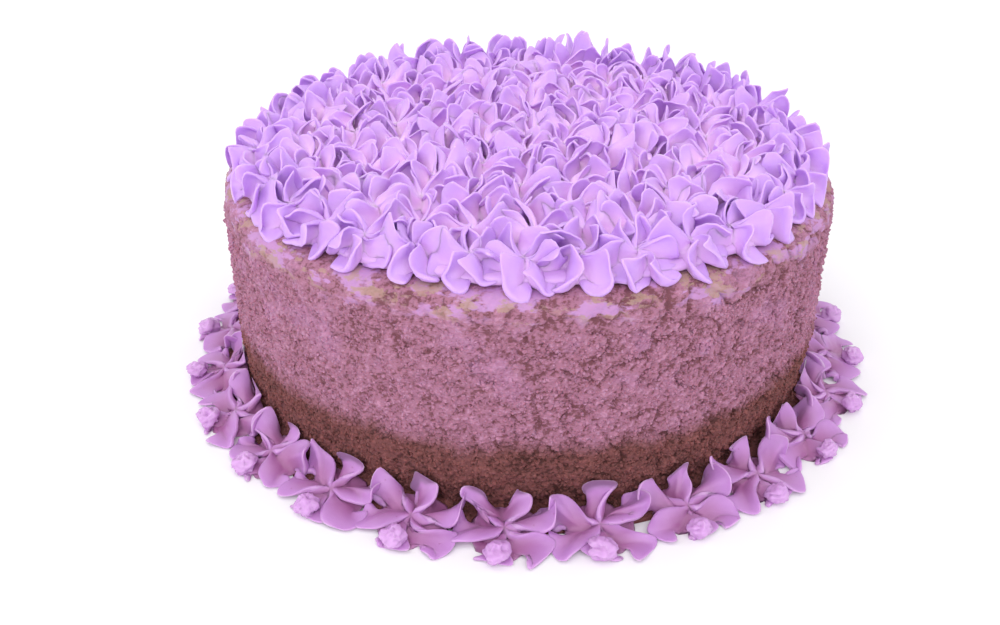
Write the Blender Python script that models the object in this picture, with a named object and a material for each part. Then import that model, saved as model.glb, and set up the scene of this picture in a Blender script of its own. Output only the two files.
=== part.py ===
"""Ube layer cake: a crumb-coated round cake, a top of piped drop flowers and a ring of them at its foot.

Run with: blender --background --python part.py
Units are metres, +Z is up, and the origin is the middle of the cake's flat underside.
"""

import math
import random

import bmesh
import bpy
from mathutils import Matrix, Vector, noise

# Driving dimensions of the cake itself
CAKE_RADIUS = 0.1000  # crumb-coated side at mid-height
CAKE_HEIGHT = 0.0720  # underside to the flat top of the sponge and crumbs
SHOULDER = 0.0060  # how far in and down the rounded top edge runs
SHOULDER_STEPS = (0.55, 0.90)  # where it has a ring of points, as shares of its height
UNDERCUT = 0.0030  # how far the side draws in at its foot, on average
UNDERCUT_SWING = 0.0014  # how much more it draws in on one side than on the other
UNDERCUT_BEARING = math.radians(-20.0)  # the side where it draws in most
UNDERCUT_TOP = 0.0240  # height where the draw-in ends
UNDERCUT_CURVE = 1.6  # power by which it grows towards the foot
CRUMB_RELIEF = 0.0009  # lumps of the crumb coat that the solid shows
CRUMB_LUMP = 0.0045  # their width
SIDE_SEGMENTS = 72
SIDE_LEVELS = 7

# Driving dimensions of the icing on top
FACE_GAP = 0.0003  # left between pieces that touch
SPREAD_THICKNESS = 0.0030
SPREAD_RADIUS = 0.0965
SPREAD_INSET = 0.0008  # how far its lower edge stands in from its upper one
SPREAD_WAVE = 0.0012
SPREAD_WAVES = 4.0  # how often its edge swings in and out
SPREAD_SEGMENTS = 60

# Driving dimensions of one piped flower
PETALS = 6
FLOWER_RADIUS = 0.0114
FLOWER_HEIGHT = 0.0100
FLOWER_SINK = 0.0012  # how deep a flower's foot sits in the spread icing
TRAILING = 0.86  # a petal's trailing shoulder, as a share of its leading one
PETAL_UNEVENNESS = 0.12  # how far a petal strays from its bearing, as a share of the step between petals
LOBE = 0.22  # from a petal's middle to its shoulder, as a share of the step between petals

# The flowers on top stand in rings
TOP_RINGS = 6
TOP_RIM_RADIUS = 0.0870  # middle of the outermost flowers
TOP_FLOWER_SPACING = 0.0152
TOP_DRIFT = 0.0016  # how far a flower strays from its place
TOP_RIM_DRIFT = 0.4  # the outermost ones' share of it
TOP_SIZES = 0.09  # spread of their radius, as a share
TOP_HEIGHTS = 0.12
TOP_PETALS = 0.10  # spread of a petal's length and height
TOP_LEANS = 0.06  # spread of their lean, in radians
TOP_RIM_LEAN = math.radians(11.0)  # the outermost flowers lean outwards
TOP_SEED = 11
TOP_FACES_KEPT = 0.54  # share of the fused icing's faces that its form needs

# The flowers round the foot
BORDER_FLOWERS = 25
BORDER_RADIUS = 0.1070  # middle of each flower
BORDER_BEARING = math.radians(-92.6)  # where the first flower stands
BORDER_PETAL_LENGTH = 0.0150
BORDER_HEIGHT = 0.0105
BORDER_LEAN = math.radians(17.0)  # they face outwards a little
BORDER_LIFT = 0.0012  # least height of a petal over the ground
BORDER_EDGE = 0.0020  # least thickness of a petal at its outer end
BORDER_NUB = 0.82  # length and height of the outermost petal, as a share of the others
BORDER_SIZES = 0.05
BORDER_HEIGHTS = 0.08
BORDER_PETALS = 0.07
BORDER_SEED = 5

ICING = (0.62, 0.37, 0.80)
ICING_SHADE = (0.50, 0.25, 0.62)
CRUMB = (0.36, 0.16, 0.22)


def clear_scene():
    """Starts from nothing, whatever the file held."""
    for obj in list(bpy.data.objects):
        bpy.data.objects.remove(obj)


def make_material(name, colour, roughness):
    """A plain coloured finish."""
    material = bpy.data.materials.new(name)
    material.use_nodes = True
    shader = material.node_tree.nodes["Principled BSDF"]
    shader.inputs["Base Color"].default_value = (*colour, 1.0)
    shader.inputs["Roughness"].default_value = roughness
    shader.inputs["Metallic"].default_value = 0.0
    return material


def make_object(name, points, faces, material, collection=None):
    """A named object from points and faces."""
    mesh = bpy.data.meshes.new(name)
    mesh.from_pydata(points, [], faces)
    mesh.validate()
    mesh.materials.append(material)
    obj = bpy.data.objects.new(name, mesh)
    (collection or bpy.context.scene.collection).objects.link(obj)
    return obj


def band_between(low, low_count, high, high_count):
    """Triangles between two rings of points, each given by its first index and its count."""
    faces = []
    i, j = 0, 0
    while i < low_count or j < high_count:
        here, above = low + i % low_count, high + j % high_count
        if (i + 1) * high_count <= (j + 1) * low_count and i < low_count:
            i += 1
            faces.append((here, low + i % low_count, above))
        else:
            j += 1
            faces.append((here, high + j % high_count, above))
    return faces


def stack_levels(levels, bottom, top):
    """Points and faces of a closed skin through rings of points, with an end point at each end.

    The rings run anticlockwise seen from above, lowest first, and may have different numbers of points.
    """
    points = [point for level in levels for point in level] + [bottom, top]
    under, over = len(points) - 2, len(points) - 1
    starts = [sum(len(level) for level in levels[:k]) for k in range(len(levels))]
    faces = []
    for k in range(len(levels) - 1):
        faces += band_between(starts[k], len(levels[k]), starts[k + 1], len(levels[k + 1]))
    for i in range(len(levels[0])):
        faces.append((under, (i + 1) % len(levels[0]), i))
    last, count = starts[-1], len(levels[-1])
    for i in range(count):
        faces.append((over, last + i, last + (i + 1) % count))
    return points, faces


def side_radius(height, bearing):
    """The cake's radius at a height, before the crumbs: drawn in at the foot, rounded at the top edge."""
    radius = CAKE_RADIUS
    if height < UNDERCUT_TOP:
        depth = UNDERCUT + UNDERCUT_SWING * math.cos(bearing - UNDERCUT_BEARING)
        radius -= depth * (1.0 - height / UNDERCUT_TOP) ** UNDERCUT_CURVE
    shoulder_start = CAKE_HEIGHT - SHOULDER
    if height > shoulder_start:
        rise = min(1.0, (height - shoulder_start) / SHOULDER)
        radius -= SHOULDER * (1.0 - math.sqrt(max(0.0, 1.0 - rise * rise)))
    return radius


def crumb_lump(point):
    """How far the crumb coat stands out at a point."""
    return CRUMB_RELIEF * noise.noise(point / CRUMB_LUMP)


def build_cake(material):
    """The sponge with its crumb coat, one solid because nothing has been cut."""
    heights = [CAKE_HEIGHT * k / SIDE_LEVELS for k in range(SIDE_LEVELS)]
    shoulder_start = CAKE_HEIGHT - SHOULDER
    heights += [shoulder_start + SHOULDER * share for share in SHOULDER_STEPS]
    heights = sorted(height for height in heights if height < CAKE_HEIGHT)
    levels = []
    for height in heights:
        level = []
        for i in range(SIDE_SEGMENTS):
            bearing = 2.0 * math.pi * i / SIDE_SEGMENTS
            radius = side_radius(height, bearing)
            base = Vector((radius * math.cos(bearing), radius * math.sin(bearing), height))
            out = Vector((math.cos(bearing), math.sin(bearing), 0.0))
            level.append(base + out * crumb_lump(base))
        levels.append(level)
    flat_top = CAKE_RADIUS - SHOULDER
    levels.append(
        [
            Vector((flat_top * math.cos(a), flat_top * math.sin(a), CAKE_HEIGHT))
            for a in (2.0 * math.pi * i / SIDE_SEGMENTS for i in range(SIDE_SEGMENTS))
        ]
    )
    points, faces = stack_levels(levels, Vector((0, 0, 0)), Vector((0, 0, CAKE_HEIGHT)))
    return make_object("cake_body", points, faces, material)


def flower_level(petals, crest, dip, crest_height, dip_height, swirl, lobe=0.0):
    """One ring of points round a flower, in its own frame.

    Each petal gives the dip before it and its crest. With a lobe, a share of the petal's angle, it gives two
    shoulders in place of the crest, and the leading one is longer and taller, as the piping twists. petals holds
    the bearing of the dip, the bearing of the crest, a length share and a height share for each.
    """
    level = []
    step = 2.0 * math.pi / len(petals)
    leading, trailing = (1.0, TRAILING) if swirl >= 0.0 else (TRAILING, 1.0)
    for dip_bearing, bearing, length, tall in petals:
        reach, rise, middle = crest * length, crest_height * tall, bearing + swirl
        spots = [(dip_bearing + swirl, dip, dip_height)]
        if lobe:
            spots.append((middle - lobe * step, reach * leading, rise * leading))
            spots.append((middle + lobe * step, reach * trailing, rise * trailing))
        else:
            spots.append((middle, reach, rise))
        level += [Vector((r * math.cos(a), r * math.sin(a), z)) for a, r, z in spots]
    return level


def petal_set(rng, start, spread):
    """Dip bearing, crest bearing, length share and height share of each petal, uneven as piping is."""
    step = 2.0 * math.pi / PETALS
    return [
        (
            start + step * (k - 0.5),
            start + step * (k + rng.uniform(-PETAL_UNEVENNESS, PETAL_UNEVENNESS)),
            1.0 + rng.uniform(-spread, spread),
            1.0 + rng.uniform(-spread, spread),
        )
        for k in range(PETALS)
    ]


def ring_places():
    """Where each flower on top stands: (x, y, bearing from the middle, whether it is at the rim)."""
    places = [(0.0, 0.0, 0.0, False)]
    for ring in range(1, TOP_RINGS + 1):
        radius = TOP_RIM_RADIUS * ring / TOP_RINGS
        count = round(2.0 * math.pi * radius / TOP_FLOWER_SPACING)
        at_rim = ring == TOP_RINGS
        for i in range(count):
            bearing = 2.0 * math.pi * (i + 0.5 * (ring % 2)) / count
            places.append((radius * math.cos(bearing), radius * math.sin(bearing), bearing, at_rim))
    return places


def top_flower(index, place, rng, material, collection):
    """One drop flower on the spread icing."""
    x, y, bearing, at_rim = place
    drift = TOP_RIM_DRIFT * TOP_DRIFT if at_rim else TOP_DRIFT
    x += rng.uniform(-drift, drift)
    y += rng.uniform(-drift, drift)
    radius = FLOWER_RADIUS * (1.0 + rng.uniform(-TOP_SIZES, TOP_SIZES))
    height = FLOWER_HEIGHT * (1.0 + rng.uniform(-TOP_HEIGHTS, TOP_HEIGHTS))
    petals = petal_set(rng, rng.uniform(0.0, 2.0 * math.pi), TOP_PETALS)
    hand = rng.choice((-1.0, 1.0))
    levels = [
        flower_level(
            petals,
            crest=radius,
            dip=0.50 * radius,
            crest_height=-FLOWER_SINK,
            dip_height=-FLOWER_SINK,
            swirl=0.20 * hand,
            lobe=LOBE,
        ),
        flower_level(
            petals,
            crest=0.74 * radius,
            dip=0.30 * radius,
            crest_height=height,
            dip_height=0.40 * height,
            swirl=-0.16 * hand,
        ),
    ]
    bottom = Vector((0.0, 0.0, -FLOWER_SINK))
    top = Vector((0.0, 0.0, 0.46 * height))
    points, faces = stack_levels(levels, bottom, top)
    lean = TOP_RIM_LEAN if at_rim else rng.uniform(-TOP_LEANS, TOP_LEANS)
    facing = Matrix.Rotation(bearing, 4, "Z")
    turn = facing @ Matrix.Rotation(lean, 4, "Y") @ facing.inverted()
    move = Matrix.Translation((x, y, CAKE_HEIGHT + FACE_GAP + SPREAD_THICKNESS)) @ turn
    return make_object(f"flower_{index}", [move @ point for point in points], faces, material, collection)


def build_top_icing(material):
    """The spread icing with every flower piped on it, fused into one solid."""
    low, high = CAKE_HEIGHT + FACE_GAP, CAKE_HEIGHT + FACE_GAP + SPREAD_THICKNESS
    levels = []
    for height, inset in ((low, SPREAD_INSET), (high, 0.0)):
        level = []
        for i in range(SPREAD_SEGMENTS):
            bearing = 2.0 * math.pi * i / SPREAD_SEGMENTS
            out = Vector((math.cos(bearing), math.sin(bearing), 0.0))
            radius = SPREAD_RADIUS - inset + SPREAD_WAVE * noise.noise(out * SPREAD_WAVES)
            level.append(out * radius + Vector((0.0, 0.0, height)))
        levels.append(level)
    points, faces = stack_levels(levels, Vector((0, 0, low)), Vector((0, 0, high)))
    icing = make_object("top_icing", points, faces, material)
    flowers = bpy.data.collections.new("flowers")
    bpy.context.scene.collection.children.link(flowers)
    rng = random.Random(TOP_SEED)
    for index, place in enumerate(ring_places()):
        top_flower(index, place, rng, material, flowers)
    join_collection(icing, flowers)
    thin = icing.modifiers.new("thin", "DECIMATE")
    thin.ratio = TOP_FACES_KEPT
    return icing


def keep_outer_skin(mesh):
    """Fills the hollows that fusing sealed and drops loose scraps: only the largest skin stays."""
    skin = bmesh.new()
    skin.from_mesh(mesh)
    unseen = set(skin.faces)
    pieces = []
    while unseen:
        front = [unseen.pop()]
        piece = list(front)
        while front:
            face = front.pop()
            beside = {other for edge in face.edges for other in edge.link_faces if other in unseen}
            unseen -= beside
            front.extend(beside)
            piece.extend(beside)
        pieces.append(piece)
    pieces.sort(key=len)
    for piece in pieces[:-1]:
        bmesh.ops.delete(skin, geom=piece, context="FACES")
    skin.to_mesh(mesh)
    skin.free()


def join_collection(obj, collection):
    """Fuses a collection's solids into an object with one Boolean union, then removes them."""
    union = obj.modifiers.new("fuse", "BOOLEAN")
    union.operation = "UNION"
    union.operand_type = "COLLECTION"
    union.collection = collection
    union.solver = "MANIFOLD"
    bpy.context.view_layer.update()
    graph = bpy.context.evaluated_depsgraph_get()
    fused = bpy.data.meshes.new_from_object(obj.evaluated_get(graph))
    obj.modifiers.remove(union)
    keep_outer_skin(fused)
    obj.data = fused
    for part in list(collection.objects):
        bpy.data.objects.remove(part)
    bpy.data.collections.remove(collection)


def fit_beside(point, bearing, half_step):
    """Brings a point of a foot flower clear of the cake's side and of its neighbours.

    The point is in a frame with +Y outwards from the middle, at the flower's bearing, and +X along the ring.
    """
    x, y, z = point
    wall = side_radius(z, bearing - math.atan2(x, y)) + CRUMB_RELIEF + FACE_GAP
    y = max(y, math.sqrt(max(0.0, wall * wall - x * x)))
    side = y * math.tan(half_step) - 0.5 * FACE_GAP
    return Vector((max(-side, min(side, x)), y, z))


def border_flower(index, rng, material):
    """One drop flower at the foot, leaning outwards, with its outermost petal pulled into a rough nub."""
    half_step = math.pi / BORDER_FLOWERS
    bearing = BORDER_BEARING + 2.0 * half_step * index
    length = BORDER_PETAL_LENGTH * (1.0 + rng.uniform(-BORDER_SIZES, BORDER_SIZES))
    height = BORDER_HEIGHT * (1.0 + rng.uniform(-BORDER_HEIGHTS, BORDER_HEIGHTS))
    petals = petal_set(rng, 0.5 * math.pi, BORDER_PETALS)
    nub_dip, nub_bearing, _, _ = petals[0]
    petals[0] = (nub_dip, nub_bearing, BORDER_NUB, BORDER_NUB)
    hand = rng.choice((-1.0, 1.0))
    levels = [
        flower_level(
            petals,
            crest=0.48 * length,
            dip=0.36 * length,
            crest_height=0.0,
            dip_height=0.0,
            swirl=0.0,
        ),
        flower_level(
            petals,
            crest=length,
            dip=0.42 * length,
            crest_height=0.42 * height,
            dip_height=0.30 * height,
            swirl=0.14 * hand,
            lobe=LOBE,
        ),
        flower_level(
            petals,
            crest=0.62 * length,
            dip=0.22 * length,
            crest_height=height,
            dip_height=0.60 * height,
            swirl=-0.08 * hand,
            lobe=0.70 * LOBE,
        ),
    ]
    lean = Matrix.Rotation(-BORDER_LEAN, 4, "X")
    place = Matrix.Translation((0.0, BORDER_RADIUS, 0.0))
    turned = []
    for k, level in enumerate(levels):
        ring = []
        for point in level:
            moved = place @ (point if k == 0 else lean @ point)
            if k > 0:
                moved.z = max(moved.z, BORDER_LIFT + BORDER_EDGE * (k - 1))
            ring.append(fit_beside(moved, bearing, half_step))
        turned.append(ring)
    heart = place @ (lean @ Vector((0.0, 0.0, 0.58 * height)))
    points, faces = stack_levels(turned, place @ Vector((0.0, 0.0, 0.0)), heart)
    spin = Matrix.Rotation(bearing - 0.5 * math.pi, 4, "Z")
    name = f"foot_flower_{index + 1:02d}"
    return make_object(name, [spin @ point for point in points], faces, material)


def main():
    """Builds every piece of the cake."""
    clear_scene()
    crumb = make_material("crumb coat", CRUMB, 0.95)
    icing = make_material("lilac icing", ICING, 0.50)
    shade = make_material("foot icing", ICING_SHADE, 0.50)
    build_cake(crumb)
    build_top_icing(icing)
    rng = random.Random(BORDER_SEED)
    for index in range(BORDER_FLOWERS):
        border_flower(index, rng, shade)


main()
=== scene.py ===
"""Looks of an ube layer cake: a crumb-coated side, and piped drop flowers on its top and round its foot.

Units are metres, +Z is up, and the origin is the middle of the cake's flat underside. The camera looks
along +Y.
"""

import logging
import math
import random
from dataclasses import dataclass, field
from enum import Enum

import bpy
import numpy as np
from mathutils import Matrix, Vector, noise


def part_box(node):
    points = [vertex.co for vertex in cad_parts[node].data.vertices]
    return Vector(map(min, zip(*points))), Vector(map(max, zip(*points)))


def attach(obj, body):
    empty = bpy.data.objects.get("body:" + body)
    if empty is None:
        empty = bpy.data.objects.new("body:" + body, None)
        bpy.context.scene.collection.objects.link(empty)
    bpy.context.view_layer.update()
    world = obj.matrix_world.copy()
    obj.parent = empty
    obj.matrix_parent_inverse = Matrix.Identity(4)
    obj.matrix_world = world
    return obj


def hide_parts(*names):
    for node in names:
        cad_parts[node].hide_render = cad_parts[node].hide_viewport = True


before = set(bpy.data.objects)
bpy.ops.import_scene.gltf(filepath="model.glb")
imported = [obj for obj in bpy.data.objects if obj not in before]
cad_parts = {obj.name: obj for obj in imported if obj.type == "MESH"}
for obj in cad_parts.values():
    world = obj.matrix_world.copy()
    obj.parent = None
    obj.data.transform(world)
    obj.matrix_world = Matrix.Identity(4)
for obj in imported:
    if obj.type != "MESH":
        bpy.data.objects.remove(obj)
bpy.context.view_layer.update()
BODY = "root"

log = logging.getLogger("ube layer cake")

Colour = tuple[float, float, float]
Points = np.ndarray
Faces = list[tuple[int, ...]]
Shape = tuple[Points, Points, Points, Faces]  # points, crest, depth and faces

RUFFLE = 0.10  # sideways waves of a petal's edge, as a share of its flower's radius
RUFFLES = 1.9  # waves along one edge
RISES = 1.3  # upward waves for each sideways one
STILL_END = 0.25  # share of an edge, by the heart, over which the upward waves fade
DEPTH_WEIGHTS = (0.55, 0.45, 0.25)  # what nearness to an edge, height and reach count for in the depth, which sets the painted pit shading
HEART_CREST = 0.2  # how much of the edges' painted glow a flower's heart has
CURL_CURVE = 1.5  # how fast a flower's curl fades from its heart outwards
LUMP_FIELDS = (  # where smooth noise is read for the shift along each axis
    Vector((3.1, 7.7, 1.3)),
    Vector((41.9, 2.6, 17.4)),
    Vector((9.2, 33.8, 58.5)),
)


class Slot(Enum):
    """Names of the crumb and icing finishes."""

    CRUMB = "crumb_coat"
    ICING = "lilac_icing"


class Hand(Enum):
    """Which way a flower twists, seen from above."""

    LEFT = 1.0
    RIGHT = -1.0


@dataclass
class NodeTree:
    """Short words for wiring a tree of shader or geometry nodes."""

    tree: bpy.types.NodeTree

    def add(self, kind: str, **settings: object) -> bpy.types.Node:
        """Adds a node.

        Args:
            kind: Its type, such as "ShaderNodeMath".
            settings: Its own settings by name.

        Returns:
            The node.
        """
        node = self.tree.nodes.new(kind)
        for name, value in settings.items():
            setattr(node, name, value)
        return node

    def set(self, node: bpy.types.Node, **values: object) -> bpy.types.Node:
        """Sets a node's inputs by name, where an underscore stands for a space.

        Args:
            node: The node.
            values: A number, a colour or a socket for each input.

        Returns:
            The same node.
        """
        for name, value in values.items():
            self.put(node.inputs[name.replace("_", " ")], value)
        return node

    def put(self, socket: bpy.types.NodeSocket, value: object) -> None:
        """Links a socket to another one, or gives it a value.

        Args:
            socket: An input.
            value: The socket that it is linked to, or its plain value.
        """
        if isinstance(value, bpy.types.NodeSocket):
            self.tree.links.new(value, socket)
        elif isinstance(value, tuple) and len(value) == 3 and socket.type == "RGBA":
            socket.default_value = (*value, 1.0)
        else:
            socket.default_value = value

    def pair(self, kind: str, operation: str, first: object, second: object) -> bpy.types.NodeSocket:
        """The outcome of a node that works on two values.

        Args:
            kind: The node's type.
            operation: What it does with them.
            first: The first number, vector or socket.
            second: The second one.

        Returns:
            Its first output.
        """
        node = self.add(kind, operation=operation)
        self.put(node.inputs[0], first)
        self.put(node.inputs[1], second)
        return node.outputs[0]

    def math(self, operation: str, first: object, second: object) -> bpy.types.NodeSocket:
        """The outcome of a sum on two numbers."""
        return self.pair("ShaderNodeMath", operation, first, second)

    def share(self, value: object, share: float) -> bpy.types.NodeSocket:
        """A value made smaller or larger by a plain number."""
        return self.math("MULTIPLY", value, share)

    def ramp(self, value: object, low: float, high: float) -> bpy.types.NodeSocket:
        """A smooth step from 0 at low to 1 at high.

        Args:
            value: The socket that is read.
            low: Where the step starts.
            high: Where it ends.

        Returns:
            The step.
        """
        node = self.add("ShaderNodeMapRange", interpolation_type="SMOOTHSTEP")
        self.set(node, Value=value, From_Min=low, From_Max=high)
        return node.outputs["Result"]

    def mix(self, share: object, first: object, second: object) -> bpy.types.NodeSocket:
        """A mix of two colours.

        Args:
            share: The second one's share, from 0 to 1.
            first: The first colour or socket.
            second: The second one.

        Returns:
            The mixed colour.
        """
        node = self.add("ShaderNodeMix", data_type="RGBA")
        self.put(node.inputs["Factor"], share)
        self.put(node.inputs[6], first)
        self.put(node.inputs[7], second)
        return node.outputs[2]

    def noise(
        self, place: object, size: float, detail: float = 2.0, roughness: float = 0.5
    ) -> bpy.types.NodeSocket:
        """Cloudy noise whose lumps are about as wide as size, in metres.

        Args:
            place: Where it is read.
            size: Width of a lump.
            detail: How many times finer noise is added.
            roughness: How strong the finer noise is.

        Returns:
            The noise, from 0 to 1.
        """
        node = self.add("ShaderNodeTexNoise")
        self.set(node, Vector=place, Scale=1.0 / size, Detail=detail, Roughness=roughness)
        return node.outputs["Fac"]

    def cells(self, place: object, size: float) -> bpy.types.NodeSocket:
        """Distance from the middle of the nearest of many cells as wide as size, in metres.

        Args:
            place: Where it is read.
            size: Width of a cell.

        Returns:
            The distance as a share of the width.
        """
        node = self.add("ShaderNodeTexVoronoi")
        self.set(node, Vector=place, Scale=1.0 / size)
        return node.outputs["Distance"]

    def stretched(self, place: object, share: float) -> bpy.types.NodeSocket:
        """A place whose pattern is that many times wider than tall."""
        return self.pair("ShaderNodeVectorMath", "MULTIPLY", place, (1.0, 1.0, share))

    def drawn(self, data_type: str, low: object, high: object, seed: object) -> bpy.types.NodeSocket:
        """A random number for each point, or a random vector.

        Args:
            data_type: "FLOAT" or "FLOAT_VECTOR".
            low: The least value.
            high: The greatest value.
            seed: The seed.

        Returns:
            The number or vector.
        """
        node = self.add("FunctionNodeRandomValue", data_type=data_type)
        first, out = (2, 1) if data_type == "FLOAT" else (0, 0)
        self.put(node.inputs[first], low)
        self.put(node.inputs[first + 1], high)
        self.set(node, Seed=seed)
        return node.outputs[out]

    def height(self, place: object) -> bpy.types.NodeSocket:
        """Height of a place over the floor.

        Args:
            place: The place.

        Returns:
            Its height.
        """
        node = self.add("ShaderNodeSeparateXYZ")
        self.set(node, Vector=place)
        return node.outputs["Z"]

    def attribute(self, name: str) -> bpy.types.NodeSocket:
        """A number kept in the mesh."""
        return self.add("ShaderNodeAttribute", attribute_name=name).outputs["Fac"]


def new_material(name: str) -> tuple[bpy.types.Material, NodeTree, bpy.types.Node]:
    """Starts a material.

    Args:
        name: The material's name.

    Returns:
        The material, its tree and its Principled shader.
    """
    material = bpy.data.materials.new(name)
    material.use_nodes = True
    return material, NodeTree(material.node_tree), material.node_tree.nodes["Principled BSDF"]


@dataclass(frozen=True)
class IcingFinish:
    """Satin, slightly translucent buttercream; its colour paints shade and light in the pits and glow along
    the edges.
    """

    name: str
    face: Colour  # the smooth faces
    edge: Colour  # painted glow of the light that passes the thin edges; the faint clouds take this colour too
    pit_shading: Colour  # painted shading deep between petals and in air holes: shade where darker than the face, bounce light where paler
    roughness: float = 0.42
    crest: float = 0.93  # how near an edge the painted glow starts
    crest_share: float = 0.55
    pit_depth: float = 0.05  # up to where the painted pit shading is full
    open_depth: float = 0.75  # how far out of the pits the face's colour is full, past the painted pit shading
    cloud: float = 0.009  # width of faint clouds
    cloud_range: tuple[float, float] = (0.35, 0.70)
    cloud_share: float = 0.18
    bubble: float = 0.0042  # spacing of small air holes, which take the painted pit shading
    bubble_range: tuple[float, float] = (0.10, 0.03)
    bubble_share: float = 0.45
    bubble_depth: float = -1.2
    grain: float = 0.0011  # width of small folds
    crumple: float = 0.22  # their strength
    crumple_depth: float = 0.0003
    glow: float = 0.60  # share of light that scatters inside
    glow_depth: float = 0.0013
    glow_reach: Colour = (0.9, 1.0, 0.9)  # how far each colour scatters

    def make(self) -> bpy.types.Material:
        """The material, which reads the crest and depth kept in the mesh for its painted edge glow and pit
        shading.

        Returns:
            The material.
        """
        material, tree, shader = new_material(self.name)
        place = tree.add("ShaderNodeTexCoord").outputs["Object"]
        crest = tree.ramp(tree.attribute("crest"), self.crest, 1.0)
        depth = tree.ramp(tree.attribute("depth"), self.pit_depth, self.open_depth)
        cloud = tree.ramp(tree.noise(place, self.cloud, detail=3.0), *self.cloud_range)
        # painted pit shading: the pit colour where the depth is low
        colour = tree.mix(depth, self.pit_shading, self.face)
        colour = tree.mix(tree.share(cloud, self.cloud_share), colour, self.edge)
        # painted glow along the thin edges
        colour = tree.mix(tree.share(crest, self.crest_share), colour, self.edge)
        bubbles = tree.ramp(tree.cells(place, self.bubble), *self.bubble_range)
        # the air holes take the painted pit shading too
        colour = tree.mix(tree.share(bubbles, self.bubble_share), colour, self.pit_shading)
        folds = tree.noise(place, self.grain, detail=4.0, roughness=0.6)
        folds = tree.math("ADD", folds, tree.share(bubbles, self.bubble_depth))
        bump = tree.add("ShaderNodeBump")
        tree.set(bump, Strength=self.crumple, Distance=self.crumple_depth, Height=folds)
        tree.set(shader, Base_Color=colour, Normal=bump.outputs["Normal"], Roughness=self.roughness)
        tree.set(shader, Subsurface_Weight=self.glow, Subsurface_Scale=self.glow_depth)
        tree.set(shader, Subsurface_Radius=self.glow_reach)
        return material


@dataclass(frozen=True)
class Streaks:
    """Flat patches near the top edge, where something else shows through the crumbs."""

    colour: Colour
    start: float  # height from where they come in
    size: float
    detail: float
    roughness: float
    least: float  # noise from which a patch starts
    share: float  # how strongly it covers the crumbs
    fade: float = 0.005
    soft: float = 0.055
    flattened: float = 2.6  # how much wider than tall

    def spots(self, tree: NodeTree, place: object, rise: object) -> bpy.types.NodeSocket:
        """Where the patches are, from 0 to 1.

        Args:
            tree: The finish's tree.
            place: A point of the piece.
            rise: Its height.

        Returns:
            How strongly a patch shows.
        """
        wide = tree.stretched(place, self.flattened)
        patches = tree.noise(wide, self.size, self.detail, self.roughness)
        patches = tree.ramp(patches, self.least, self.least + self.soft)
        return tree.math("MULTIPLY", tree.ramp(rise, self.start, self.start + self.fade), patches)


SMEARS = Streaks((0.50, 0.26, 0.54), 0.073, 0.012, 4.0, 0.60, 0.515, 0.80)
BARE_SPONGE = Streaks((0.42, 0.27, 0.22), 0.074, 0.008, 5.0, 0.66, 0.525, 0.75)


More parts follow.
